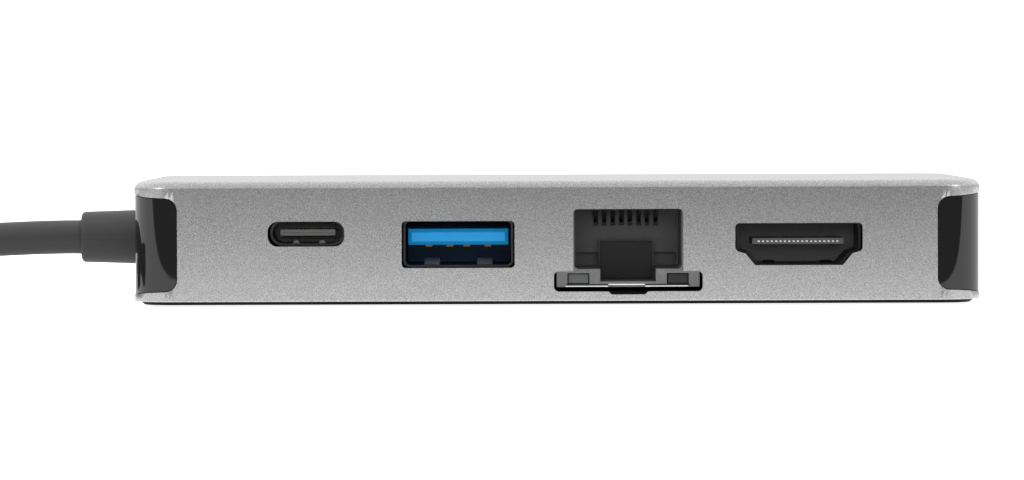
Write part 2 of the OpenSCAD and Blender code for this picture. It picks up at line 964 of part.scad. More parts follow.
module plug_grip() {
    color([0.1, 0.1, 0.105])
        translate([route_end[0], route_end[1], grip_h / 2]) {
            rotate([0, 90, 0])
                cylinder(d1 = boot_d - 0.4, d2 = boot_d + 0.4, h = boot_len);
            translate([boot_len + grip_len / 2, 0, 0])
                along_x(grip_len)
                    rounded_rect(grip_w, grip_h, 2.2);
        }
}

module plug_shell() {
    color([0.72, 0.72, 0.73])
        translate([grip_x + grip_len + seat_gap + plug_shell_len / 2, route_end[1], grip_h / 2])
            difference() {
                along_x(plug_shell_len)
                    rounded_rect(plug_shell_w, plug_shell_h, plug_shell_h / 2);
                translate([0.5, 0, 0])
                    along_x(plug_shell_len)
                        rounded_rect(plug_shell_w - 2 * port_t, plug_shell_h - 2 * port_t,
                            plug_shell_h / 2 - port_t);
            }
}

module plug_tongue() {
    lining_len = plug_shell_len - 1;
    wide = plug_shell_w - 2 * port_t - 2 * seat_gap;
    tall = plug_shell_h - 2 * port_t - 2 * seat_gap;
    from_x = grip_x + grip_len + 0.5 + 2 * seat_gap;
    color([0.08, 0.08, 0.085])
        translate([from_x + lining_len / 2, route_end[1], grip_h / 2])
            difference() {
                along_x(lining_len)
                    rounded_rect(wide, tall, tall / 2);
                translate([0.8, 0, 0])
                    along_x(lining_len)
                        square([wide - 1, 0.8], center = true);
            }
}

housing_shell();
end_cap_left();
end_cap_right();
base_plate();
rubber_feet();
base_screws();
main_board();
board_screws();
power_board();
board_link();
reversible_port_shell();
reversible_port_tongue();
reversible_port_contacts();
data_port_shell();
data_port_tongue();
data_port_contacts();
network_jack_shield();
network_jack_housing();
network_contacts();
network_light_left();
network_light_right();
video_port_shell();
video_port_tongue();
video_port_contacts();
hub_chip();
network_chip();
video_chip();
power_chip();
network_transformer();
crystals();
power_inductors();
capacitors();
small_capacitors();
thermal_pads();
heat_spreader();
wire_header();
cable_wires();
cable_clamp();
cable_inner_end();
strain_relief();
cable();
plug_grip();
plug_shell();
plug_tongue();
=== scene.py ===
"""A slim laptop dock: an aluminium body with four sockets along its front, gloss black end caps
and a short captive cable that ends in a reversible plug. Shapes are worked out in millimetres."""
import json
import math

import bmesh
import bpy
from mathutils import Matrix, Vector


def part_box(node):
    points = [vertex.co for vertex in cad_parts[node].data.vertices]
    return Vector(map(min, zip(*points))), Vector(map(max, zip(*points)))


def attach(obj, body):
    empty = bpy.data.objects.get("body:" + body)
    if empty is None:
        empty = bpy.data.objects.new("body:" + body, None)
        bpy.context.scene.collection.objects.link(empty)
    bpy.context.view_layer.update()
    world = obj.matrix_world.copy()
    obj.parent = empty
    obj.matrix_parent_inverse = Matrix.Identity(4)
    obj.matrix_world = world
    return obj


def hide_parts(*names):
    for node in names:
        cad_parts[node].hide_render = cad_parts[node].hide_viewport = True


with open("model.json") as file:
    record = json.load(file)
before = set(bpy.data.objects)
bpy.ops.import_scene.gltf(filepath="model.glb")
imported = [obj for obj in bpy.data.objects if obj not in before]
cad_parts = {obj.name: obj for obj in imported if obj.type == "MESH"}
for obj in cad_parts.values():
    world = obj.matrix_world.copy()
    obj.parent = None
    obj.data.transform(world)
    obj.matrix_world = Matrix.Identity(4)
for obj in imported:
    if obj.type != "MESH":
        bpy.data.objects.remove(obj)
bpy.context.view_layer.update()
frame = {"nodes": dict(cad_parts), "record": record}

MM = 0.001

# Sizes of the body that no single node's box gives
WALL = 1.2
END_RIM = 1.6
CORNER_R = 5
EDGE_R = 1.28
EDGE_TILT = 15
EDGE_TOP_TILT = 4
CEILING_DROP = 1.5
CAP_W = 5.4
CAP_LIP = 1.18
CAP_BROW = 2.05
CAP_WINDOW_R = 1.45
CAP_WALL = 1.6
CAP_INSET = 0.09
CAP_GAP = 0.1
CAP_FLARE = 0.11
RIM_ROUND = 0.12
PORT_WALL = 0.3
JACK_MOUTH_TOP = 9.28
PIN_PITCH = 1.04
CABLE_D = 4.2
RELIEF_ROOT_D = 6.7
RELIEF_TIP_D = 6.25


def span(node):
    """Lowest and highest corner of a CAD node, in millimetres."""
    low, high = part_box(node)
    return low / MM, high / MM


def middle(node):
    low, high = span(node)
    return (low + high) / 2


SHELL_LOW, SHELL_HIGH = span("housing_shell")
HALF_W = SHELL_HIGH.x
HALF_D = SHELL_HIGH.y
RIM_Z = SHELL_LOW.z
TOP_Z = SHELL_HIGH.z
FRONT_Y = SHELL_LOW.y
EDGE_IN = EDGE_R * math.cos(math.radians(EDGE_TILT))
ROLL_Z = TOP_Z - EDGE_R * math.cos(math.radians(EDGE_TOP_TILT))
FLARE_RUN = CORNER_R - WALL - 0.2
JACK_LOW, JACK_HIGH = span("network_jack_shield")
JACK_X = (JACK_LOW.x + JACK_HIGH.x) / 2
JACK_Z = JACK_LOW.z
SOCKET_Y = JACK_LOW.y


# ---- Camera ----

def place_camera():
    """A long lens straight in front, a little above the dock."""
    target = Vector((-5.38, FRONT_Y, 7.9)) * MM
    place = Vector((-5.38, FRONT_Y - 600, 24)) * MM
    data = bpy.data.cameras.new("camera")
    data.lens = 178
    data.sensor_width = 36
    data.clip_start = 0.01
    data.clip_end = 20
    camera = bpy.data.objects.new("camera", data)
    bpy.context.scene.collection.objects.link(camera)
    aim = (target - place).to_track_quat("-Z", "Y").to_matrix()
    roll = Matrix.Rotation(math.radians(-0.2), 3, "Z")
    camera.matrix_world = Matrix.Translation(place) @ (aim @ roll).to_4x4()
    bpy.context.scene.camera = camera


# ---- Shader recipes ----

class Signal:
    """A number, colour or vector in a material, with arithmetic that adds Math nodes."""

    def __init__(self, finish, socket):
        self.finish = finish
        self.socket = socket

    def math(self, operation, *values):
        return self.finish.add("Math", {"operation": operation}, dict(enumerate(values)))

    def __add__(self, other):
        return self.math("ADD", self, other)

    def __radd__(self, other):
        return self.math("ADD", other, self)

    def __sub__(self, other):
        return self.math("SUBTRACT", self, other)

    def __rsub__(self, other):
        return self.math("SUBTRACT", other, self)

    def __mul__(self, other):
        return self.math("MULTIPLY", self, other)

    def __rmul__(self, other):
        return self.math("MULTIPLY", other, self)

    def __abs__(self):
        return self.math("ABSOLUTE", self)

    def spread(self, low, high, to_low=0, to_high=1):
        """Maps low..high to to_low..to_high, held at its ends."""
        return self.finish.add("MapRange", {}, {0: self, 1: low, 2: high, 3: to_low, 4: to_high})


class Finish:
    """A material's nodes. add() takes a node's type, its settings, then its inputs."""

    def __init__(self, name, tree=None):
        self.material = None
        if tree is None:
            self.material = bpy.data.materials.new(name)
            self.material.use_nodes = True
            tree = self.material.node_tree
        self.tree = tree
        self.tree.nodes.clear()

    def add(self, kind, settings=(), inputs=(), output=0):
        node = self.tree.nodes.new(kind if "Node" in kind else "ShaderNode" + kind)
        for name, value in dict(settings).items():
            setattr(node, name, value)
        for key, value in dict(inputs).items():
            if isinstance(value, Signal):
                self.tree.links.new(value.socket, node.inputs[key])
            else:
                node.inputs[key].default_value = value
        return Signal(self, node.outputs[output])

    def place(self):
        return self.add("TexCoord", output="Object")

    def stretched(self, x, y, z):
        """The piece's own coordinates, scaled by different amounts along each axis."""
        return self.add("Mapping", {}, {"Vector": self.place(), "Scale": (x, y, z)})

    def part(self, vector, axis):
        """One of a vector's three numbers."""
        return self.add("SeparateXYZ", {}, {0: vector}, output=axis)

    def noise(self, scale, detail=2, rough=0.5, vector=None):
        vector = vector or self.place()
        inputs = {"Vector": vector, "Scale": scale, "Detail": detail, "Roughness": rough}
        return self.add("TexNoise", {}, inputs)

    def cells(self, scale, vector=None, feature="F1"):
        vector = vector or self.place()
        return self.add("TexVoronoi", {"feature": feature}, {"Vector": vector, "Scale": scale})

    def tint(self, factor, first, second):
        """A colour between two colours."""
        inputs = {0: factor, 6: colour(first), 7: colour(second)}
        return self.add("Mix", {"data_type": "RGBA"}, inputs, output=2)

    def bump(self, height, depth, strength=1):
        """A bump whose height of 1 stands depth millimetres proud."""
        return self.add("Bump", {}, {"Strength": strength, "Distance": depth * MM, "Height": height})

    def surface(self, **sockets):
        """Ends the material in a Principled shader. Its sockets are named with _ for a space."""
        inputs = {key.replace("_", " ").title().replace("Ior", "IOR"): v for key, v in sockets.items()}
        shader = self.add("BsdfPrincipled", {}, inputs)
        self.add_output(shader)
        return self.material

    def add_output(self, shader):
        out = self.tree.nodes.new("ShaderNodeOutputMaterial")
        self.tree.links.new(shader.socket, out.inputs["Surface"])


def colour(value):
    """A grey level, three levels or a signal as a colour input."""
    if isinstance(value, Signal):
        return value
    if isinstance(value, (int, float)):
        return (value, value, value, 1)
    return (*value, 1)


# ---- Finishes ----

def blasted_aluminium():
    """Bead-blasted, clear anodised aluminium: a fine bright and dark grain."""
    f = Finish("anodised_aluminium")
    grain = f.noise(13500, 0, 0.5)
    fleck = f.noise(9800, 0, 0.5)
    cloud = f.noise(30, 2)
    level = (grain * 0.55 + fleck * 0.45).spread(0.36, 0.64)
    base = f.tint(level, (0.40, 0.40, 0.405), (0.76, 0.76, 0.765))
    rough = 0.26 + 0.04 * cloud + 0.05 * level
    return f.surface(
        base_color=base, metallic=1, roughness=rough, normal=f.bump(level, 0.0015, 0.6)
    )


def gloss_black():
    """Polished black plastic with a trace of handling in its gloss."""
    f = Finish("gloss_black")
    haze = f.noise(160, 3, 0.6)
    hair = f.noise(900, 1, 0.5, f.stretched(0.06, 1, 1))
    base = f.tint(haze, (0.006, 0.006, 0.0065), (0.010, 0.010, 0.011))
    rough = 0.02 + 0.03 * haze.spread(0.4, 0.7)
    return f.surface(
        base_color=base, roughness=rough, ior=1.6, normal=f.bump(hair, 0.0006, 0.3)
    )


def moulded_plastic(name, dark, light, grain=2600, rough=0.5, depth=0.008):
    """Moulded plastic with spark-eroded grain and a slow drift in tone."""
    f = Finish(name)
    speck = f.noise(grain, 2, 0.55)
    drift = f.noise(120, 2)
    base = f.tint(0.65 * drift + 0.35 * speck, dark, light)
    return f.surface(
        base_color=base, roughness=rough - 0.06 + 0.12 * speck, normal=f.bump(speck, depth, 0.6)
    )


def plate_black():
    """Dull black paint over sheet metal, with a fine orange peel."""
    f = Finish("plate_black")
    peel = f.noise(1100, 2, 0.5)
    drift = f.noise(60, 2)
    base = f.tint(0.5 * peel + 0.5 * drift, (0.001, 0.001, 0.0015), (0.004, 0.004, 0.005))
    return f.surface(
        base_color=base,
        roughness=0.5 + 0.1 * peel,
        specular_ior_level=0.08,
        normal=f.bump(peel, 0.01, 0.5),
    )


def soft_rubber(name, dark, light, rough=0.58):
    """Matt cable jacket: fine pits, faint lengthwise drawing marks and dull patches."""
    f = Finish(name)
    pits = f.cells(3400)
    drawn = f.noise(1500, 1, 0.5, f.stretched(0.05, 1, 1))
    drift = f.noise(140, 3, 0.6)
    base = f.tint(0.6 * drift + 0.4 * drawn, dark, light)
    height = 0.6 * pits + 0.4 * drawn
    return f.surface(
        base_color=base, roughness=rough - 0.05 + 0.12 * drift, normal=f.bump(height, 0.012, 0.5)
    )


def stamped_steel(name, dark, light, rough=0.3):
    """Plated sheet steel, with rolling marks along its depth and small scuffs."""
    f = Finish(name)
    rolled = f.noise(2400, 2, 0.6, f.stretched(1, 0.06, 1))
    scuff = f.noise(700, 3, 0.7).spread(0.5, 0.72)
    base = f.tint(0.7 * rolled + 0.3 * scuff, dark, light)
    return f.surface(
        base_color=base,
        metallic=1,
        roughness=rough - 0.08 + 0.16 * rolled + 0.06 * scuff,
        normal=f.bump(rolled, 0.003, 0.5),
    )


def plated_contact(name, dark, light):
    """Plated copper alloy, a little duller where it has been rubbed."""
    f = Finish(name)
    rubbed = f.noise(1800, 2, 0.6)
    base = f.tint(rubbed, dark, light)
    return f.surface(
        base_color=base, metallic=1, roughness=0.22 + 0.2 * rubbed, normal=f.bump(rubbed, 0.002, 0.4)
    )


def light_window(name, dark, light):
    """Frosted light guide: fine upright ribs under a satin face."""
    f = Finish(name)
    ribs = f.add("TexWave", {"bands_direction": "X"}, {"Vector": f.place(), "Scale": 900})
    haze = f.noise(600, 2)
    base = f.tint(0.3 * ribs + 0.7 * haze, dark, light)
    return f.surface(
        base_color=base,
        roughness=0.32 + 0.14 * haze,
        subsurface_weight=0.15,
        normal=f.bump(ribs, 0.006, 0.4),
    )


def circuit_board():
    """Green solder mask over copper tracks, with plated holes."""
    f = Finish("circuit_board")
    grid = f.add("TexBrick", {}, {"Vector": f.place(), "Scale": 420, "Mortar Size": 0.02}, output=1)
    track = f.cells(260, feature="DISTANCE_TO_EDGE").spread(0.03, 0.05, 1, 0)
    holes = f.cells(520).spread(0.10, 0.13, 1, 0)
    weave = f.noise(1400, 2)
    mask = f.tint(0.7 * track + 0.3 * grid, (0.006, 0.05, 0.022), (0.014, 0.11, 0.045))
    base = f.tint(holes, mask, (0.5, 0.42, 0.22))
    return f.surface(
        base_color=base,
        roughness=0.34 + 0.12 * weave,
        coat_weight=0.3,
        normal=f.bump(track + 0.3 * weave, 0.02, 0.4),
    )


def moulded_chip():
    """Black moulding compound with a fine sparkle of filler."""
    f = Finish("chip_black")
    filler = f.cells(5200)
    drift = f.noise(300, 2)
    base = f.tint(0.5 * filler + 0.5 * drift, (0.012, 0.012, 0.013), (0.035, 0.035, 0.037))
    return f.surface(base_color=base, roughness=0.45 + 0.2 * filler, normal=f.bump(filler, 0.008, 0.5))


def foam_pad():
    """Blue-grey thermal pad with a soft open surface."""
    f = Finish("thermal_pad")
    pores = f.cells(1500)
    base = f.tint(pores, (0.20, 0.24, 0.31), (0.36, 0.41, 0.48))
    return f.surface(base_color=base, roughness=0.75 + 0.15 * pores, normal=f.bump(pores, 0.05, 0.7))


FINISHES = {
    "anodised_aluminium": blasted_aluminium(),
    "gloss_black": gloss_black(),
    "matt_black": moulded_plastic("matt_black", 0.010, 0.020),
    "plate_black": plate_black(),
    "jack_black": moulded_plastic("jack_black", 0.105, 0.155, grain=1900, rough=0.46),
    "tongue_grey": moulded_plastic("tongue_grey", 0.085, 0.125, grain=3200, rough=0.42),
    "tongue_light": moulded_plastic("tongue_light", 0.11, 0.155, grain=3200, rough=0.42),
    "data_blue": moulded_plastic("data_blue", (0.010, 0.31, 0.74), (0.013, 0.40, 0.88), rough=0.36),
    # Dark navy copy of the data blue: painted shade for the socket's shadowed back block.
    "data_blue_painted_shade": moulded_plastic("data_blue_painted_shade", (0.003, 0.018, 0.05), (0.005, 0.03, 0.075), rough=0.5),
    "header_white": moulded_plastic("header_white", 0.55, 0.72, rough=0.45),
    "foot_rubber": soft_rubber("foot_rubber", 0.010, 0.022, rough=0.75),
    "cable_jacket": soft_rubber("cable_jacket", 0.024, 0.040, rough=0.5),
    "wire_blue": soft_rubber("wire_blue", (0.02, 0.07, 0.24), (0.04, 0.12, 0.36), rough=0.45),
    "port_steel": stamped_steel("port_steel", 0.26, 0.42),
    "port_rim": stamped_steel("port_rim", 0.05, 0.10, rough=0.32),
    # Darker copy of the port steel for the jack's shield: painted shade for its recessed, shadowed front.
    "shield_painted_shade_steel": stamped_steel("shield_painted_shade_steel", 0.20, 0.32, rough=0.42),
    # Near-white steel for the jack's folded bottom edge: plated metal, partly painted highlight for the
    # light the edge catches.
    "lip_steel_painted_highlight": stamped_steel("lip_steel_painted_highlight", 0.90, 0.98, rough=0.12),
    "port_black_steel": stamped_steel("port_black_steel", 0.030, 0.055, rough=0.38),
    "screw_steel": stamped_steel("screw_steel", 0.35, 0.55, rough=0.34),
    "crystal_can": stamped_steel("crystal_can", 0.55, 0.75, rough=0.26),
    "capacitor_can": stamped_steel("capacitor_can", 0.50, 0.70, rough=0.32),
    "spreader_aluminium": stamped_steel("spreader_aluminium", 0.55, 0.72, rough=0.36),
    "inductor_grey": moulded_plastic("inductor_grey", 0.035, 0.075, grain=1400, rough=0.62),
    "ceramic_tan": moulded_plastic("ceramic_tan", (0.26, 0.16, 0.08), (0.40, 0.27, 0.15), rough=0.5),
    "contact_gold": plated_contact("contact_gold", (0.62, 0.42, 0.15), (0.86, 0.64, 0.28)),
    # Brown, darkened copy of the contact gold: painted shade for the data contacts under their tongue.
    "contact_gold_painted_shade": plated_contact("contact_gold_painted_shade", (0.20, 0.10, 0.06), (0.36, 0.20, 0.12)),
    "contact_bright": plated_contact("contact_bright", 0.80, 0.95),
    # Dark copy of the contact metal for the jack's wires: painted shade.
    "wire_contact_painted_shade": plated_contact("wire_contact_painted_shade", 0.07, 0.14),
    "light_clear": light_window("light_clear", (0.10, 0.105, 0.10), (0.16, 0.165, 0.155)),
    "light_dark": light_window("light_dark", 0.014, 0.026),
    # Near-black copy of the jack's plastic: painted shade for the recess in front of the latch channel.
    "jack_painted_shade_panel": moulded_plastic("jack_painted_shade_panel", 0.022, 0.038, grain=1900, rough=0.5),
    # Light grey-blue plastic finish on steel springs: partly painted glint standing in for the light the
    # springs catch.
    "spring_painted_glint": moulded_plastic("spring_painted_glint", (0.11, 0.13, 0.15), (0.17, 0.19, 0.21), rough=0.3),
    "circuit_board": circuit_board(),
    "chip_black": moulded_chip(),
    "thermal_pad": foam_pad(),
}


# ---- Mesh helpers, in millimetres ----

def rounded(w, h, r, steps=8):
    """Points of a rounded rectangle about the origin, anticlockwise."""
    points = []
    for side_x, side_y, start in ((1, 1, 0), (-1, 1, 90), (-1, -1, 180), (1, -1, 270)):
        for n in range(steps + 1):
            a = math.radians(start + 90 * n / steps)
            x = side_x * (w / 2 - r) + r * math.cos(a)
            points.append((x, side_y * (h / 2 - r) + r * math.sin(a)))
    return points


def loft(bm, rings, closed=False):
    """Skins rings of equally many points, and closes both ends, or joins the last to the first."""
    loops = [[bm.verts.new(p) for p in ring] for ring in rings]
    count = len(loops[0])
    following = loops[1:] + (loops[:1] if closed else [])
    for a, b in zip(loops, following):
        for n in range(count):
            m = (n + 1) % count
            bm.faces.new((a[n], a[m], b[m], b[n]))
    if not closed:
        bm.faces.new(loops[0][::-1])
        bm.faces.new(loops[-1])


def lofted(rings, closed=False):
    bm = bmesh.new()
    loft(bm, rings, closed)
    bmesh.ops.recalc_face_normals(bm, faces=bm.faces)
    return bm


def block(low, high):
    """A plain cuboid between two corners, for cutting and for building up."""
    ring = [(low[0], low[1]), (high[0], low[1]), (high[0], high[1]), (low[0], high[1])]
    return lofted([[(x, y, z) for x, y in ring] for z in (low[2], high[2])])


def joined(*parts):
    """Several closed shapes as one mesh."""
    whole = bmesh.new()
    for part in parts:
        mesh = bpy.data.meshes.new("part")
        part.to_mesh(mesh)
        part.free()
        whole.from_mesh(mesh)
        bpy.data.meshes.remove(mesh)
    return whole


def swept_y(outline, y0, y1):
    """Prism along Y from an outline of (x, z) points."""
    return lofted([[(x, y, z) for x, z in outline] for y in (y0, y1)])


def swept_x(outline, x0, x1):
    """Prism along X from an outline of (y, z) points."""
    return lofted([[(x, y, z) for y, z in outline] for x in (x0, x1)])


def as_object(name, bm):
    mesh = bpy.data.meshes.new(name)
    bm.to_mesh(mesh)
    bm.free()
    made = bpy.data.objects.new(name, mesh)
    bpy.context.scene.collection.objects.link(made)
    return made


def carved(bm, steps):
    """Applies exact booleans in turn: steps is a list of (operation, solid)."""
    body = as_object("carving", bm)
    tools = []
    for operation, solid in steps:
        tool = as_object("tool", solid)
        tools.append(tool)
        modifier = body.modifiers.new("cut", "BOOLEAN")
        modifier.operation = operation
        modifier.solver = "EXACT"
        modifier.object = tool
    graph = bpy.context.evaluated_depsgraph_get()
    result = bmesh.new()
    result.from_mesh(bpy.data.meshes.new_from_object(body.evaluated_get(graph)))
    for thing in (body, *tools):
        bpy.data.objects.remove(thing)
    bmesh.ops.remove_doubles(result, verts=result.verts, dist=1e-4)
    return result


def ease(bm, width, chosen=None, angle=35, segments=2):
    """Rounds the edges that turn by more than angle degrees and, where given, pass chosen."""
    limit = math.radians(angle)
    edges = [
        e for e in bm.edges
        if len(e.link_faces) == 2 and e.calc_face_angle(0) > limit and (not chosen or chosen(e))
    ]
    bmesh.ops.bevel(
        bm, geom=edges, offset=width, offset_type="OFFSET", segments=segments, profile=0.5,
        affect="EDGES", clamp_overlap=True,
    )


def finished(name, bm, slot, stands_for=(), finish=None, sharp=32):
    """Makes a shown piece of a mesh: scaled to metres, shaded, painted and riding on the dock."""
    bmesh.ops.scale(bm, vec=(MM, MM, MM), verts=bm.verts)
    for face in bm.faces:
        face.smooth = True
    for edge in bm.edges:
        edge.smooth = len(edge.link_faces) == 2 and edge.calc_face_angle(0) < math.radians(sharp)
    made = as_object(name, bm)
    made.data.materials.append(FINISHES[finish or slot])
    flat = made.modifiers.new("flat faces", "WEIGHTED_NORMAL")
    flat.keep_sharp = True
    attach(made, "root")
    if stands_for:
        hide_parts(*stands_for)
    return made


def eased_node(node, slot, width, finish=None, angle=35, reshape=None):
    """A CAD node's shape with its flat faces joined, reshaped if asked, and its edges rounded."""
    bm = bmesh.new()
    bm.from_mesh(frame["nodes"][node].data)
    bmesh.ops.scale(bm, vec=(1 / MM, 1 / MM, 1 / MM), verts=bm.verts)
    bmesh.ops.remove_doubles(bm, verts=bm.verts, dist=2e-3)
    bmesh.ops.dissolve_limit(bm, angle_limit=math.radians(1), verts=bm.verts, edges=bm.edges)
    if reshape:
        reshape(bm)
    ease(bm, width, angle=angle)
    return finished(node + "_eased", bm, slot, [node], finish)


# ---- What repeats, grown by Geometry Nodes ----

SOCKETS = {int: "NodeSocketInt", float: "NodeSocketFloat", tuple: "NodeSocketVector"}


def grown(name, build, slot, finish=None, **sizes):
    """Runs a tree whose inputs are the sizes; build adds its middle. Gives a plain mesh."""
    tree = bpy.data.node_groups.new(name, "GeometryNodeTree")
    f = Finish(name, tree)
    tree.interface.new_socket("Geometry", in_out="OUTPUT", socket_type="NodeSocketGeometry")
    for key, value in sizes.items():
        tree.interface.new_socket(key, in_out="INPUT", socket_type=SOCKETS[type(value)])
    entry = tree.nodes.new("NodeGroupInput")
    shape = build(f, **{key: Signal(f, entry.outputs[key]) for key in sizes})
    real = f.add("GeometryNodeRealizeInstances", {}, {0: shape})
    painted = f.add("GeometryNodeSetMaterial", {}, {0: real, "Material": FINISHES[finish or slot]})
    tree.links.new(painted.socket, tree.nodes.new("NodeGroupOutput").inputs[0])
    host = as_object(name, bmesh.new())
    modifier = host.modifiers.new("grow", "NODES")
    modifier.node_group = tree
    for item in tree.interface.items_tree:
        if item.in_out == "INPUT":
            modifier[item.identifier] = sizes[item.name]
    graph = bpy.context.evaluated_depsgraph_get()
    result = bmesh.new()
    result.from_mesh(bpy.data.meshes.new_from_object(host.evaluated_get(graph)))
    bpy.data.objects.remove(host)
    return result


def copies(f, shape, count, start, step, wander, seed):
    """Repeats a shape along a line, each copy strayed a little at random."""
    line = f.add("GeometryNodeMeshLine", {}, {0: count, "Start Location": start, "Offset": step})
    span_of = {"data_type": "FLOAT_VECTOR"}
    stray = f.add("FunctionNodeRandomValue", span_of, {0: (-1, -1, -1), 1: (1, 1, 1), 8: seed})
    scaled = f.add("VectorMath", {"operation": "SCALE"}, {0: stray, "Scale": wander})
    strayed = f.add("GeometryNodeSetPosition", {}, {0: line, "Offset": scaled})
    return f.add("GeometryNodeInstanceOnPoints", {}, {0: strayed, "Instance": shape})


def bar_tree(f, Count, Start, Step, Size, Wander, Seed):
    """A row of rectangular contacts."""
    bar = f.add("GeometryNodeMeshCube", {}, {"Size": Size})
    return copies(f, bar, Count, Start, Step, Wander, Seed)


def wire_tree(f, Count, Start, Step, Knee, Tip, Radius, Wander, Seed):
    """A row of spring wires: each bends once on its way from its root to its tip."""
    path_inputs = {"Resolution": 10, "Start": (0, 0, 0), "Middle": Knee, "End": Tip}
    path = f.add("GeometryNodeCurveQuadraticBezier", {}, path_inputs)
    outline = f.add("GeometryNodeCurvePrimitiveCircle", {}, {0: 12, "Radius": Radius})
    inputs = {"Curve": path, "Profile Curve": outline, "Fill Caps": True}
    wire = f.add("GeometryNodeCurveToMesh", {}, inputs)
    return copies(f, wire, Count, Start, Step, Wander, Seed)


def disc_tree(f, Rows, Columns, Width, Depth, Height, Radius, Sides, Lift):
    """Discs on the corners of a grid."""
    grid = f.add("GeometryNodeMeshGrid", {}, {0: Width, 1: Depth, 2: Columns, 3: Rows})
    disc = f.add("GeometryNodeMeshCylinder", {}, {0: Sides, "Radius": Radius, "Depth": Height})
    discs = f.add("GeometryNodeInstanceOnPoints", {}, {0: grid, "Instance": disc})
    return f.add("GeometryNodeTransform", {}, {0: discs, "Translation": Lift})


# ---- Free cable ----

CABLE_ROUTE = [
    (-58.8, 0, 7.8), (-60.5, 0, 7.8), (-67, 0, 7.6), (-76, -1, 7.1), (-85, -3, 5.8), (-94, -6, 4.2),
    (-103, -9, 2.8), (-112, -12, 2.2), (-121, -14, 2.1), (-130, -15.5, 2.1), (-139, -16, 2.1),
    (-149, -16, 2.1), (-160, -16, 2.1), (-168.5, -13.7, 2.1), (-174.7, -7.5, 2.1),
    (-177, 1, 2.1), (-174.7, 9.5, 2.1), (-168.5, 15.7, 2.1), (-160, 18, 2.1),
    (-150, 18, 2.1), (-142, 18, 2.2), (-134, 18, 2.9), (-127, 18, 3.25), (-121, 18, 3.25),
]


def free_cable():
    """The jacketed cable, one smooth curve along its resting route."""
    data = bpy.data.curves.new("cable_jacket", "CURVE")
    data.dimensions = "3D"
    data.resolution_u = 10
    data.bevel_depth = CABLE_D / 2 * MM
    data.bevel_resolution = 7
    data.use_fill_caps = True
    spline = data.splines.new("BEZIER")
    spline.bezier_points.add(len(CABLE_ROUTE) - 1)
    for point, place in zip(spline.bezier_points, CABLE_ROUTE):
        point.co = Vector(place) * MM
        point.handle_left_type = "AUTO"
        point.handle_right_type = "AUTO"
    cable = bpy.data.objects.new("cable_jacket", data)
    bpy.context.scene.collection.objects.link(cable)
    data.materials.append(FINISHES["cable_jacket"])
    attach(cable, "root")
    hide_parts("cable")
    return cable


def lathe_rings(profile, angles, x_of, centre):
    """Rings about an axis along X, from (distance, radius) pairs; angles holds (degrees, lift)."""
    rings = []
    for along, radius in profile:
        ring = []
        for degrees, lift in angles:
            a = math.radians(degrees)
            r = radius + lift
            ring.append((x_of(along), centre.y + r * math.cos(a), centre.z + r * math.sin(a)))
        rings.append(ring)
    return rings


def strain_relief():
    """Moulded sleeve that tapers to a rounded lip, with a fine parting line along each side."""
    low, high = span("strain_relief")
    centre = middle("strain_relief")
    flange_r = (high.z - low.z) / 2
    bore_r = CABLE_D / 2 + 0.02
    root_r = RELIEF_ROOT_D / 2
    tip_r = RELIEF_TIP_D / 2
    lip = 0.5
    length = high.x - low.x - 0.35
    neck = 1.2
    profile = [(0, bore_r), (0, flange_r), (neck, flange_r), (neck, root_r), (neck + 2, root_r)]
    for n in range(7):
        a = math.radians(15 * n)
        profile.append((length - lip + lip * math.sin(a), tip_r - lip + lip * math.cos(a)))
    profile += [(length, bore_r + 0.15), (length - 0.25, bore_r)]
    angles = [(3.75 * n, 0) for n in range(96)]
    for side in (0, 180):
        for offset, lift in ((-1.1, 0), (-0.5, 0.03), (0.5, 0.03), (1.1, 0)):
            angles.append(((side + offset) % 360, lift))
        angles.remove((float(side), 0))
    angles.sort()
    rings = lathe_rings(profile, angles, lambda along: high.x - along, centre)
    return finished("strain_relief_sleeve", lofted(rings, closed=True), "cable_jacket",
                    ["strain_relief"])


def plug_grip():
    """Moulded grip with soft shoulders, and a ribbed boot towards the cable."""
    low, high = span("plug_grip")
    start = Vector(CABLE_ROUTE[-1])
    boot_len = 6
    grip_from = low.x + boot_len
    half_w = (high.y - low.y) / 2
    half_h = (high.z - low.z) / 2
    rings = []
    shoulder = 1.1
    ends = [(grip_from, 1, n) for n in range(5)] + [(high.x, -1, n) for n in range(4, -1, -1)]
    for x0, way, n in ends:
        a = math.radians(22.5 * n)
        drawn_in = shoulder * (1 - math.sin(a))
        x = x0 + way * shoulder * (1 - math.cos(a))
        outline = rounded(2 * (half_w - drawn_in), 2 * (half_h - drawn_in), 2.2 - 0.8 * drawn_in, 10)
        rings.append([(x, start.y + y, half_h + z) for y, z in outline])
    bm = lofted(rings)
    boot = []
    ribs = 5
    for n in range(ribs * 8 + 1):
        along = boot_len * n / (ribs * 8)
        swell = 0.16 * (1 - math.cos(2 * math.pi * n / 8))
        boot.append((along, 2.4 + 0.4 * along / boot_len - swell * (0.25 < along < boot_len - 0.2)))
    angles = [(7.5 * n, 0) for n in range(48)]
    loft(bm, lathe_rings(boot, angles, lambda along: low.x + along, start))
    bmesh.ops.recalc_face_normals(bm, faces=bm.faces)
    return finished("plug_grip_moulding", bm, "matt_black", ["plug_grip"])


# ---- Floor and light ----

# The mirrored table's edge comes nearest at TABLE_PEAK, slopes away to both sides and is soft
TABLE_FRONT = -95
TABLE_PEAK = 45
TABLE_SLOPE = 0.28
TABLE_FADE = 4


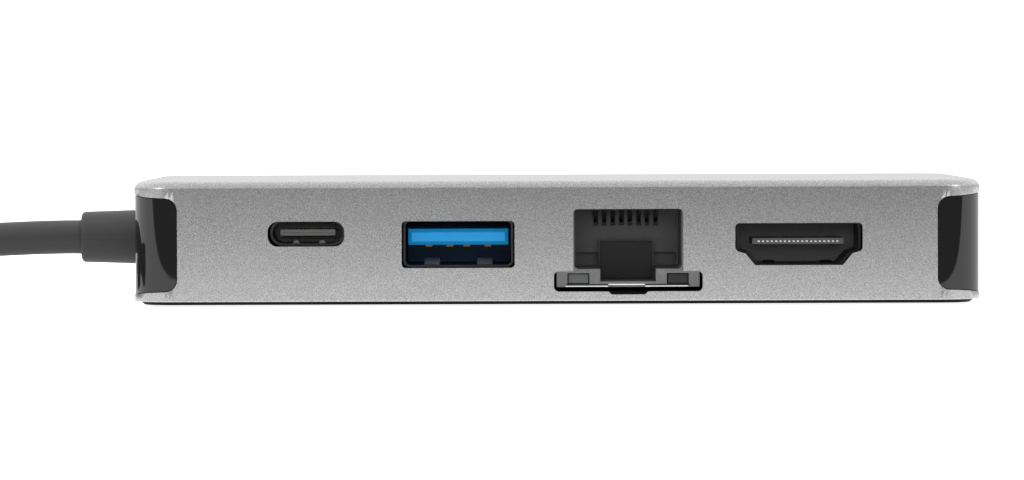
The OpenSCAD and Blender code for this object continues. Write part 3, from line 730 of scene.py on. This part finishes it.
def floor():
    """Wide pale floor. What mirrors in the dock is a white table that ends a hand's width in front."""
    bm = bmesh.new()
    bmesh.ops.create_grid(bm, x_segments=8, y_segments=8, size=4)
    ground = as_object("floor", bm)
    f = Finish("floor_paper")
    seen = f.add("LightPath", output="Is Camera Ray")
    fibre = f.noise(300, 3)
    paper = f.add("BsdfDiffuse", {}, {"Color": f.tint(fibre, 0.80, 0.86)})
    white = f.add("Emission", {}, {"Color": (1, 1, 1, 1), "Strength": 0.9})
    place = f.place()
    beside = abs(f.part(place, 0) - TABLE_PEAK * MM)
    along = f.part(place, 1) + TABLE_SLOPE * beside
    fade = (TABLE_FRONT - TABLE_FADE) * MM, (TABLE_FRONT + TABLE_FADE) * MM
    table = along.spread(*fade, 0.16, 1.2)
    mirrored = f.add("LightPath", output="Is Glossy Ray")
    strength = table * (0.5 + 0.5 * mirrored)
    glow = f.add("Emission", {}, {"Color": (1, 1, 1, 1), "Strength": strength})
    shown = f.add("AddShader", {}, {0: paper, 1: white})
    f.add_output(f.add("MixShader", {}, {0: seen, 1: glow, 2: shown}))
    f.material.cycles.emission_sampling = "NONE"
    ground.data.materials.append(f.material)


def softbox(name, place, aim, size, radiance):
    """A rectangular light of an even radiance, not seen by the camera."""
    data = bpy.data.lights.new(name, "AREA")
    data.shape = "RECTANGLE"
    data.size = size[0] * MM
    data.size_y = size[1] * MM
    data.energy = radiance * math.pi * data.size * data.size_y
    light = bpy.data.objects.new(name, data)
    bpy.context.scene.collection.objects.link(light)
    light.location = Vector(place) * MM
    way = Vector(aim) - Vector(place)
    light.rotation_euler = way.to_track_quat("-Z", "Y").to_euler()
    light.visible_camera = False
    return light


def studio():
    """White surroundings behind, dimmer in front, and soft light from both front quarters."""
    world = bpy.data.worlds.new("studio")
    bpy.context.scene.world = world
    world.use_nodes = True
    f = Finish("studio", world.node_tree)
    way = f.add("TexCoord", output="Generated")
    near = f.part(way, 1).spread(-0.6, 0.3)
    far = f.part(way, 1).spread(0.3, 1)
    up = f.part(way, 2).spread(0.08, 0.42)
    level = 0.16 + 0.53 * up + 0.27 * near + 0.34 * far
    seen = f.add("LightPath", output="Is Camera Ray")
    lit = f.add("Background", {}, {"Color": (1, 1, 1, 1), "Strength": level})
    white = f.add("Background", {}, {"Color": (1, 1, 1, 1), "Strength": 1.1})
    mixed = f.add("MixShader", {}, {0: seen, 1: lit, 2: white})
    out = f.tree.nodes.new("ShaderNodeOutputWorld")
    f.tree.links.new(mixed.socket, out.inputs["Surface"])
    centre = (0, 0, 7)
    for side in (-1, 1):
        softbox(f"side_box_{side}", (side * 385, -320, 210), centre, (150, 250), 2.5)
    front = softbox("front_fill", (0, -560, 80), centre, (260, 120), 7.0)
    front.visible_glossy = False
    top = softbox("top_fill", (0, -60, 520), centre, (420, 260), 11.0)
    top.visible_glossy = False
    bpy.context.scene.view_settings.view_transform = "Standard"


# ---- Housing ----

def body_ring(inset, end_inset, r, z, steps=14):
    """Outline of the body at one height, drawn in by inset along the sides and end_inset at the ends."""
    outline = rounded(2 * (HALF_W - end_inset), 2 * (HALF_D - inset), r, steps)
    return [(x, y, z) for x, y in outline]


def window_tools(side, gap):
    """The two overlapping solids of an end window, every edge drawn in by gap."""
    low = RIM_Z + CAP_LIP + gap
    high = TOP_Z - CAP_BROW - gap
    from_x = HALF_W - CAP_W + gap
    r = CAP_WINDOW_R - gap
    turn_x = from_x + r
    far = HALF_W + 5
    outline = [(far, low), (far, high)]
    for z, start in ((high - r, 90), (low + r, 180)):
        for n in range(13):
            a = math.radians(start + 7.5 * n)
            outline.append((turn_x + r * math.cos(a), z + r * math.sin(a)))
    rise = CAP_FLARE * FLARE_RUN
    run = HALF_D - FLARE_RUN
    flare = [
        (-HALF_D - 1, low), (-HALF_D, low), (-run, low - rise), (run, low - rise), (HALF_D, low),
        (HALF_D + 1, low), (HALF_D + 1, high), (HALF_D, high), (run, high + rise),
        (-run, high + rise), (-HALF_D, high), (-HALF_D - 1, high),
    ]
    across = swept_y([(side * x, z) for x, z in outline], -HALF_D - 2, HALF_D + 2)
    along = swept_x(flare, side * turn_x, side * far)
    return across, along


def shifted(outline, x, z):
    return [(x + px, z + pz) for px, pz in outline]


def stepped_outline(w, h, r):
    """Outline of the video socket: square shoulders above, stepped in below."""
    knee = h * 0.31
    foot = w / 2 - 2.35
    step = 1.2
    right = [
        (foot, -h / 2), (w / 2 - step, -h / 2 + knee - 0.15), (w / 2 - 0.25, -h / 2 + knee + 0.12),
        (w / 2, -h / 2 + knee + 0.45),
    ]
    for n in range(7):
        a = math.radians(15 * n)
        right.append((w / 2 - r + r * math.cos(a), h / 2 - r + r * math.sin(a)))
    return right + [(-x, z) for x, z in reversed(right)]


def bore(shell):
    """Width and height inside a socket's shell."""
    low, high = span(shell)
    return high.x - low.x - 2 * PORT_WALL, high.z - low.z - 2 * PORT_WALL


def socket_tools():
    """Solids that cut the openings of the four sockets into the front wall."""
    rev = middle("reversible_port_shell")
    data = middle("data_port_shell")
    video = middle("video_port_shell")
    data_w, data_h = bore("data_port_shell")
    video_w, video_h = bore("video_port_shell")
    mouth_h = 8
    latch_notch = [(-2, -0.86), (2, -0.86), (2.4, -0.46), (-2.4, -0.46)]
    outlines = [
        shifted(rounded(9.1, 2.96, 1.2, 10), rev.x - 0.15, rev.z - 0.15),
        shifted(rounded(data_w + 0.9, data_h + 0.46, 0.5), data.x, data.z - 0.12),
        shifted(rounded(13.06, mouth_h, 0.55), JACK_X, JACK_Z + JACK_MOUTH_TOP - mouth_h / 2),
        shifted(rounded(17.65, 2.41, 0.6), JACK_X, JACK_Z + 0.705),
        shifted(latch_notch, JACK_X, JACK_Z),
        shifted(stepped_outline(video_w + 0.9, video_h + 0.25, 0.5), video.x, video.z - 0.02),
    ]
    return [swept_y(outline, FRONT_Y - 1, FRONT_Y + WALL + 1) for outline in outlines]


def housing():
    """The aluminium shell: a rolled top edge over a crisp line, open below, cut for the sockets."""
    ceiling = TOP_Z - CEILING_DROP
    rings = [
        body_ring(WALL, END_RIM, CORNER_R - END_RIM, ceiling),
        body_ring(WALL, END_RIM, CORNER_R - END_RIM, RIM_Z),
    ]
    for n in range(5):
        a = math.radians(22.5 * n)
        inset = RIM_ROUND * (1 - math.sin(a))
        rings.append(body_ring(inset, inset, CORNER_R - inset, RIM_Z + RIM_ROUND * (1 - math.cos(a))))
    roll_steps = 10
    for n in range(roll_steps + 1):
        a = math.radians(EDGE_TILT + (90 - EDGE_TOP_TILT - EDGE_TILT) * n / roll_steps)
        inset = EDGE_IN - EDGE_R * math.cos(a)
        rings.append(body_ring(inset, inset, CORNER_R - inset, ROLL_Z + EDGE_R * math.sin(a)))
    steps = []
    for side in (-1, 1):
        steps += [("DIFFERENCE", tool) for tool in window_tools(side, 0)]
    steps += [("DIFFERENCE", tool) for tool in socket_tools()]
    shell = carved(lofted(rings), steps)
    crisp_z = ROLL_Z + EDGE_R * math.sin(math.radians(EDGE_TILT))

    def on_skin(edge):
        for vert in edge.verts:
            x, y, z = vert.co
            over_x = abs(x) - (HALF_W - CORNER_R)
            over_y = abs(y) - (HALF_D - CORNER_R)
            away = math.hypot(max(over_x, 0), max(over_y, 0)) + min(max(over_x, over_y), 0)
            if abs(away - CORNER_R) > 0.02 or not RIM_Z + RIM_ROUND + 0.1 < z < crisp_z - 0.2:
                return False
        return True

    ease(shell, 0.07, on_skin)
    return finished("aluminium_housing", shell, "anodised_aluminium", ["housing_shell"], sharp=28)


def end_cap(side, node):
    """Gloss band that fills an end window, with eased edges."""
    ceiling = TOP_Z - CEILING_DROP
    inner = CAP_INSET + CAP_WALL
    r_out = CORNER_R - CAP_INSET
    r_in = CORNER_R - inner
    band = lofted([
        body_ring(CAP_INSET, CAP_INSET, r_out, RIM_Z, 24),
        body_ring(CAP_INSET, CAP_INSET, r_out, ceiling, 24),
        body_ring(inner, inner, r_in, ceiling, 24),
        body_ring(inner, inner, r_in, RIM_Z, 24),
    ], closed=True)
    across, along = window_tools(side, CAP_GAP)
    window = carved(across, [("UNION", along)])
    steps = [("INTERSECT", window)]
    if side < 0:
        hole_r = RELIEF_ROOT_D / 2 + 0.05
        angles = [(5 * n, 0) for n in range(72)]
        from_x = 3 - HALF_W
        hole = lathe_rings([(0, hole_r), (6, hole_r)], angles, lambda out: from_x - out,
                           middle("strain_relief"))
        steps.append(("DIFFERENCE", lofted(hole)))
    cap = carved(band, steps)
    ease(cap, 0.12, segments=3)
    return finished(node + "_gloss", cap, "gloss_black", [node], sharp=28)


def base_plate():
    """Black plate whose outer side leans in a little towards the table."""
    low, high = span("base_plate")
    bottom = low.z
    r = CORNER_R - (HALF_W - high.x)
    lean = 0.3
    core = (HALF_W - CORNER_R, HALF_D - CORNER_R)

    def tuck(bm):
        for vert in bm.verts:
            over = [max(abs(value) - c, 0) for value, c in zip(vert.co, core)]
            if vert.co.z < bottom + 0.01 and math.hypot(*over) > r - 0.05:
                for axis in (0, 1):
                    vert.co[axis] -= math.copysign(over[axis] * lean / r, vert.co[axis])

    return eased_node("base_plate", "matt_black", 0.1, "plate_black", reshape=tuck)


def rubber_feet():
    """Four round feet with softened edges."""
    low, high = span("rubber_feet")
    radius = 4.0
    height = high.z - low.z
    sizes = {
        "Rows": 2, "Columns": 2, "Width": high.x - low.x - 2 * radius,
        "Depth": high.y - low.y - 2 * radius, "Height": height, "Radius": radius, "Sides": 72,
        "Lift": (0.0, 0.0, low.z + height / 2),
    }
    feet = grown("rubber_feet", disc_tree, "foot_rubber", **sizes)
    ease(feet, 0.14, angle=50, segments=3)
    return finished("round_feet", feet, "foot_rubber", ["rubber_feet"])


# ---- Sockets ----

def at_jack(x, y, z):
    """A place measured from the jack's front bottom edge."""
    return (JACK_X + x, SOCKET_Y + y, JACK_Z + z)


def jack_lips():
    """Bright edge of the can's folded bottom, leaning down a little, its middle tongue bent up. Its
    near-white steel is partly painted highlight.
    """
    parts = []
    profile = [(-0.03, 0.01), (-0.05, 0.17), (0.9, 0.17), (0.9, 0.01)]
    for x0, x1, z in ((-7.45, -2.4, 0), (2.05, 7.1, 0), (-2.35, 2.0, 0.21)):
        outline = [at_jack(0, y, z + up)[1:] for y, up in profile]
        parts.append(swept_x(outline, JACK_X + x0, JACK_X + x1))
    lips = joined(*parts)
    ease(lips, 0.02)
    return finished("jack_lips", lips, "port_steel", finish="lip_steel_painted_highlight")


def jack_painted_shade_panel():
    """Near-black panel in front of the latch's channel, with a chamfered border: painted shade for the
    deep, shadowed recess there.
    """
    panel = block(at_jack(-3.2, 10.36, 0.66), at_jack(3.2, 10.6, 5.2))
    ease(panel, 0.12)
    return finished("jack_painted_shade_panel", panel, "jack_black", finish="jack_painted_shade_panel")


def jack_light(node, finish):
    """Light guide set back in its window, with a gap all round."""
    low, high = span(node)
    gap = Vector((0.08, 0.18, 0.08))
    guide = block(low + gap, high - gap * Vector((1, 0, 1)))
    ease(guide, 0.06)
    return finished(node + "_guide", guide, finish, [node])


def jack_shadow_strip():
    """Black strip between the can's front and its bright bottom edge: painted shadow for the dark line
    where the two meet.
    """
    strip = block(at_jack(-7.4, -0.02, 0.17), at_jack(7.4, 0.3, 0.36))
    ease(strip, 0.03)
    return finished("jack_shadow_strip", strip, "matt_black")


def jack_wires():
    """Eight spring wires behind the comb, in a dark copy of the contact metal: painted shade for the
    shadow they sit in.
    """
    sizes = {
        "Count": 8, "Start": at_jack(-3.5 * PIN_PITCH, 2.2, JACK_MOUTH_TOP),
        "Step": (PIN_PITCH, 0.0, 0.0),
        "Knee": (0.0, 5.5, 0.05), "Tip": (0.0, 11.3, -1.75), "Radius": 0.16,
        "Wander": 0.02, "Seed": 4,
    }
    wires = grown("jack_wires", wire_tree, "contact_gold", "wire_contact_painted_shade", **sizes)
    return finished("jack_wires", wires, "contact_gold", ["network_contacts"], "wire_contact_painted_shade")


def reversible_tongue():
    """Thin tongue with a raised nose and a faint middle groove, and the block behind it."""
    centre = middle("reversible_port_shell")
    low, high = span("reversible_port_tongue")
    nose_w = 6.5
    nose_y = low.y + 0.9
    block_y = high.y - 2.5
    groove_x = nose_w / 2 - 0.3
    groove_z = 0.035
    groove = [(-groove_x, -groove_z), (groove_x, -groove_z), (groove_x, groove_z), (-groove_x, groove_z)]

    def slab(outline, y0, y1):
        return swept_y(shifted(outline, centre.x, centre.z), y0, y1)

    cut = slab(groove, low.y - 1, low.y + 0.06)
    tongue = joined(
        carved(slab(rounded(nose_w, 0.74, 0.1, 3), low.y, nose_y), [("DIFFERENCE", cut)]),
        slab(rounded(6.69, 0.66, 0.1, 3), nose_y - 0.1, block_y + 0.1),
        slab(rounded(high.x - low.x, high.z - low.z, 1.25, 10), block_y, high.y),
    )
    ease(tongue, 0.05, angle=50)
    return finished("reversible_tongue", tongue, "tongue_grey", ["reversible_port_tongue"], "tongue_light")


def reversible_contacts():
    """Two rows of twelve gold strips, above and below the tongue."""
    centre = middle("reversible_port_contacts")
    pitch = 0.5
    rows = []
    for side, seed in ((-1, 5), (1, 6)):
        sizes = {
            "Count": 12, "Start": (centre.x - 5.5 * pitch, centre.y, centre.z + side * 0.355),
            "Step": (pitch, 0.0, 0.0), "Size": (0.25, 4.4, 0.05), "Wander": 0.01, "Seed": seed,
        }
        rows.append(grown(f"reversible_row_{seed}", bar_tree, "contact_gold", **sizes))
    strips = joined(*rows)
    return finished("reversible_strips", strips, "contact_gold", ["reversible_port_contacts"])


def reversible_bumps():
    """Two grip springs that stand up from the floor of the reversible socket, in a light grey-blue finish
    that is partly painted glint on the steel.
    """
    centre = middle("reversible_port_shell")
    root_z = span("reversible_port_shell")[0].z + PORT_WALL - 0.05
    r = 0.42
    arch = [math.radians(180 - 22.5 * n) for n in range(9)]
    half_round = [(r * math.cos(a), r * math.sin(a)) for a in arch]
    bumps = []
    for x in (-1.4, 1.7):
        outline = shifted(half_round, centre.x + x, root_z)
        bumps.append(swept_y(outline, SOCKET_Y + 1.1, SOCKET_Y + 3.2))
    springs = joined(*bumps)
    ease(springs, 0.08, angle=50)
    return finished("reversible_springs", springs, "port_steel", finish="spring_painted_glint")


def data_tongue():
    """Blue contact board of the data socket, chamfered at its nose."""
    centre = middle("data_port_shell")
    width = 11.9
    height = 1.9
    mid_z = centre.z + 0.75
    front = SOCKET_Y + 0.5
    chamfer = 0.42
    rings = []
    for y, drawn_in in ((front, chamfer), (front + chamfer, 0), (front + 9, 0)):
        outline = rounded(width - 2 * drawn_in, height - 2 * drawn_in, 0.06, 2)
        rings.append([(x, y, z) for x, z in shifted(outline, centre.x, mid_z)])
    return finished("data_tongue", lofted(rings), "data_blue", ["data_port_tongue"], sharp=20)


def data_back():
    """Block that holds the tongue at the back of the data socket, in a dark navy copy of the blue plastic:
    painted shade for the shadowed back of the socket.
    """
    low, high = span("data_port_tongue")
    outline = shifted(rounded(high.x - low.x, high.z - low.z, 0.5), *middle("data_port_tongue").xz)
    back = swept_y(outline, low.y + 8.3, high.y)
    ease(back, 0.1, angle=50)
    return finished("data_back", back, "data_blue", finish="data_blue_painted_shade")


def data_springs():
    """Two grip springs on the floor of the data socket, each with a rounded top, in a light grey-blue
    finish that is partly painted glint on the steel.
    """
    centre = middle("data_port_shell")
    floor_z = span("data_port_shell")[0].z + PORT_WALL
    half_w = 0.92
    side = [(1.0, -0.05), (3.75, 0.66), (4.0, 0.73), (4.3, 0.65), (4.7, -0.05)]
    outline = shifted(side, SOCKET_Y, floor_z)
    tabs = []
    for x in (centre.x - 3.15, centre.x + 3.15):
        tabs.append(swept_x(outline, x - half_w, x + half_w))
    springs = joined(*tabs)
    ease(springs, 0.08, angle=50)
    return finished("data_springs", springs, "port_steel", finish="spring_painted_glint")


def data_contacts():
    """Four broad contacts under the tongue, in a brown, darkened copy of the gold: painted shade for the
    shadow under the tongue.
    """
    low, high = span("data_port_contacts")
    centre = middle("data_port_contacts")
    strips = []
    for x in (-3.5, -1.0, 1.0, 3.5):
        sizes = {
            "Count": 1, "Start": (centre.x + x, centre.y, centre.z), "Step": (0.0, 0.0, 0.0),
            "Size": (0.8, high.y - low.y, high.z - low.z), "Wander": 0.01, "Seed": int(10 + x),
        }
        strips.append(grown(f"data_strip_{x}", bar_tree, "contact_gold", "contact_gold_painted_shade", **sizes))
    row = joined(*strips)
    ease(row, 0.03)
    return finished("data_strips", row, "contact_gold", ["data_port_contacts"], "contact_gold_painted_shade")


def video_contacts():
    """Nineteen bright contact ends along the front of the video socket's tongue."""
    centre = middle("video_port_contacts")
    pitch = 0.52
    sizes = {
        "Count": 19, "Start": (centre.x - 9 * pitch, centre.y - 0.02, centre.z),
        "Step": (pitch, 0.0, 0.0), "Size": (0.25, 0.1, 0.2), "Wander": 0.008, "Seed": 7,
    }
    ends = grown("video_ends", bar_tree, "contact_gold", "contact_bright", **sizes)
    ease(ends, 0.03)
    return finished("video_ends", ends, "contact_gold", ["video_port_contacts"], "contact_bright")


# ---- Everything ----

place_camera()
jacket = free_cable()
relief = strain_relief()
grip = plug_grip()
housing()
end_cap(-1, "end_cap_left")
end_cap(1, "end_cap_right")
base_plate()
rubber_feet()
for node, slot in (("network_light_left", "light_clear"), ("network_light_right", "light_dark")):
    jack_light(node, slot)
for make in (jack_lips, jack_painted_shade_panel, jack_shadow_strip, jack_wires, reversible_tongue, reversible_contacts,
             reversible_bumps, data_tongue, data_back, data_springs, data_contacts, video_contacts):
    make()

EASED = {
    "reversible_port_shell": ("port_steel", 0.1, "port_rim"),
    "data_port_shell": ("port_steel", 0.1, "port_rim"),
    # The jack's shield takes the darker steel, painted shade for its recessed front.
    "network_jack_shield": ("port_steel", 0.05, "shield_painted_shade_steel"),
    "network_jack_housing": ("jack_black", 0.04, None),
    "video_port_shell": ("port_black_steel", 0.06, None),
    "video_port_tongue": ("tongue_grey", 0.06, None),
    "plug_shell": ("port_steel", 0.1, None),
    "plug_tongue": ("chip_black", 0.05, None),
}
eased = {node: eased_node(node, slot, width, finish) for node, (slot, width, finish) in EASED.items()}
KEPT = {s["node"]: s["material_slot"] for s in frame["record"]["subparts"]}
for node, obj in frame["nodes"].items():
    obj.data.materials.clear()
    obj.data.materials.append(FINISHES[KEPT[node]])

floor()
studio()
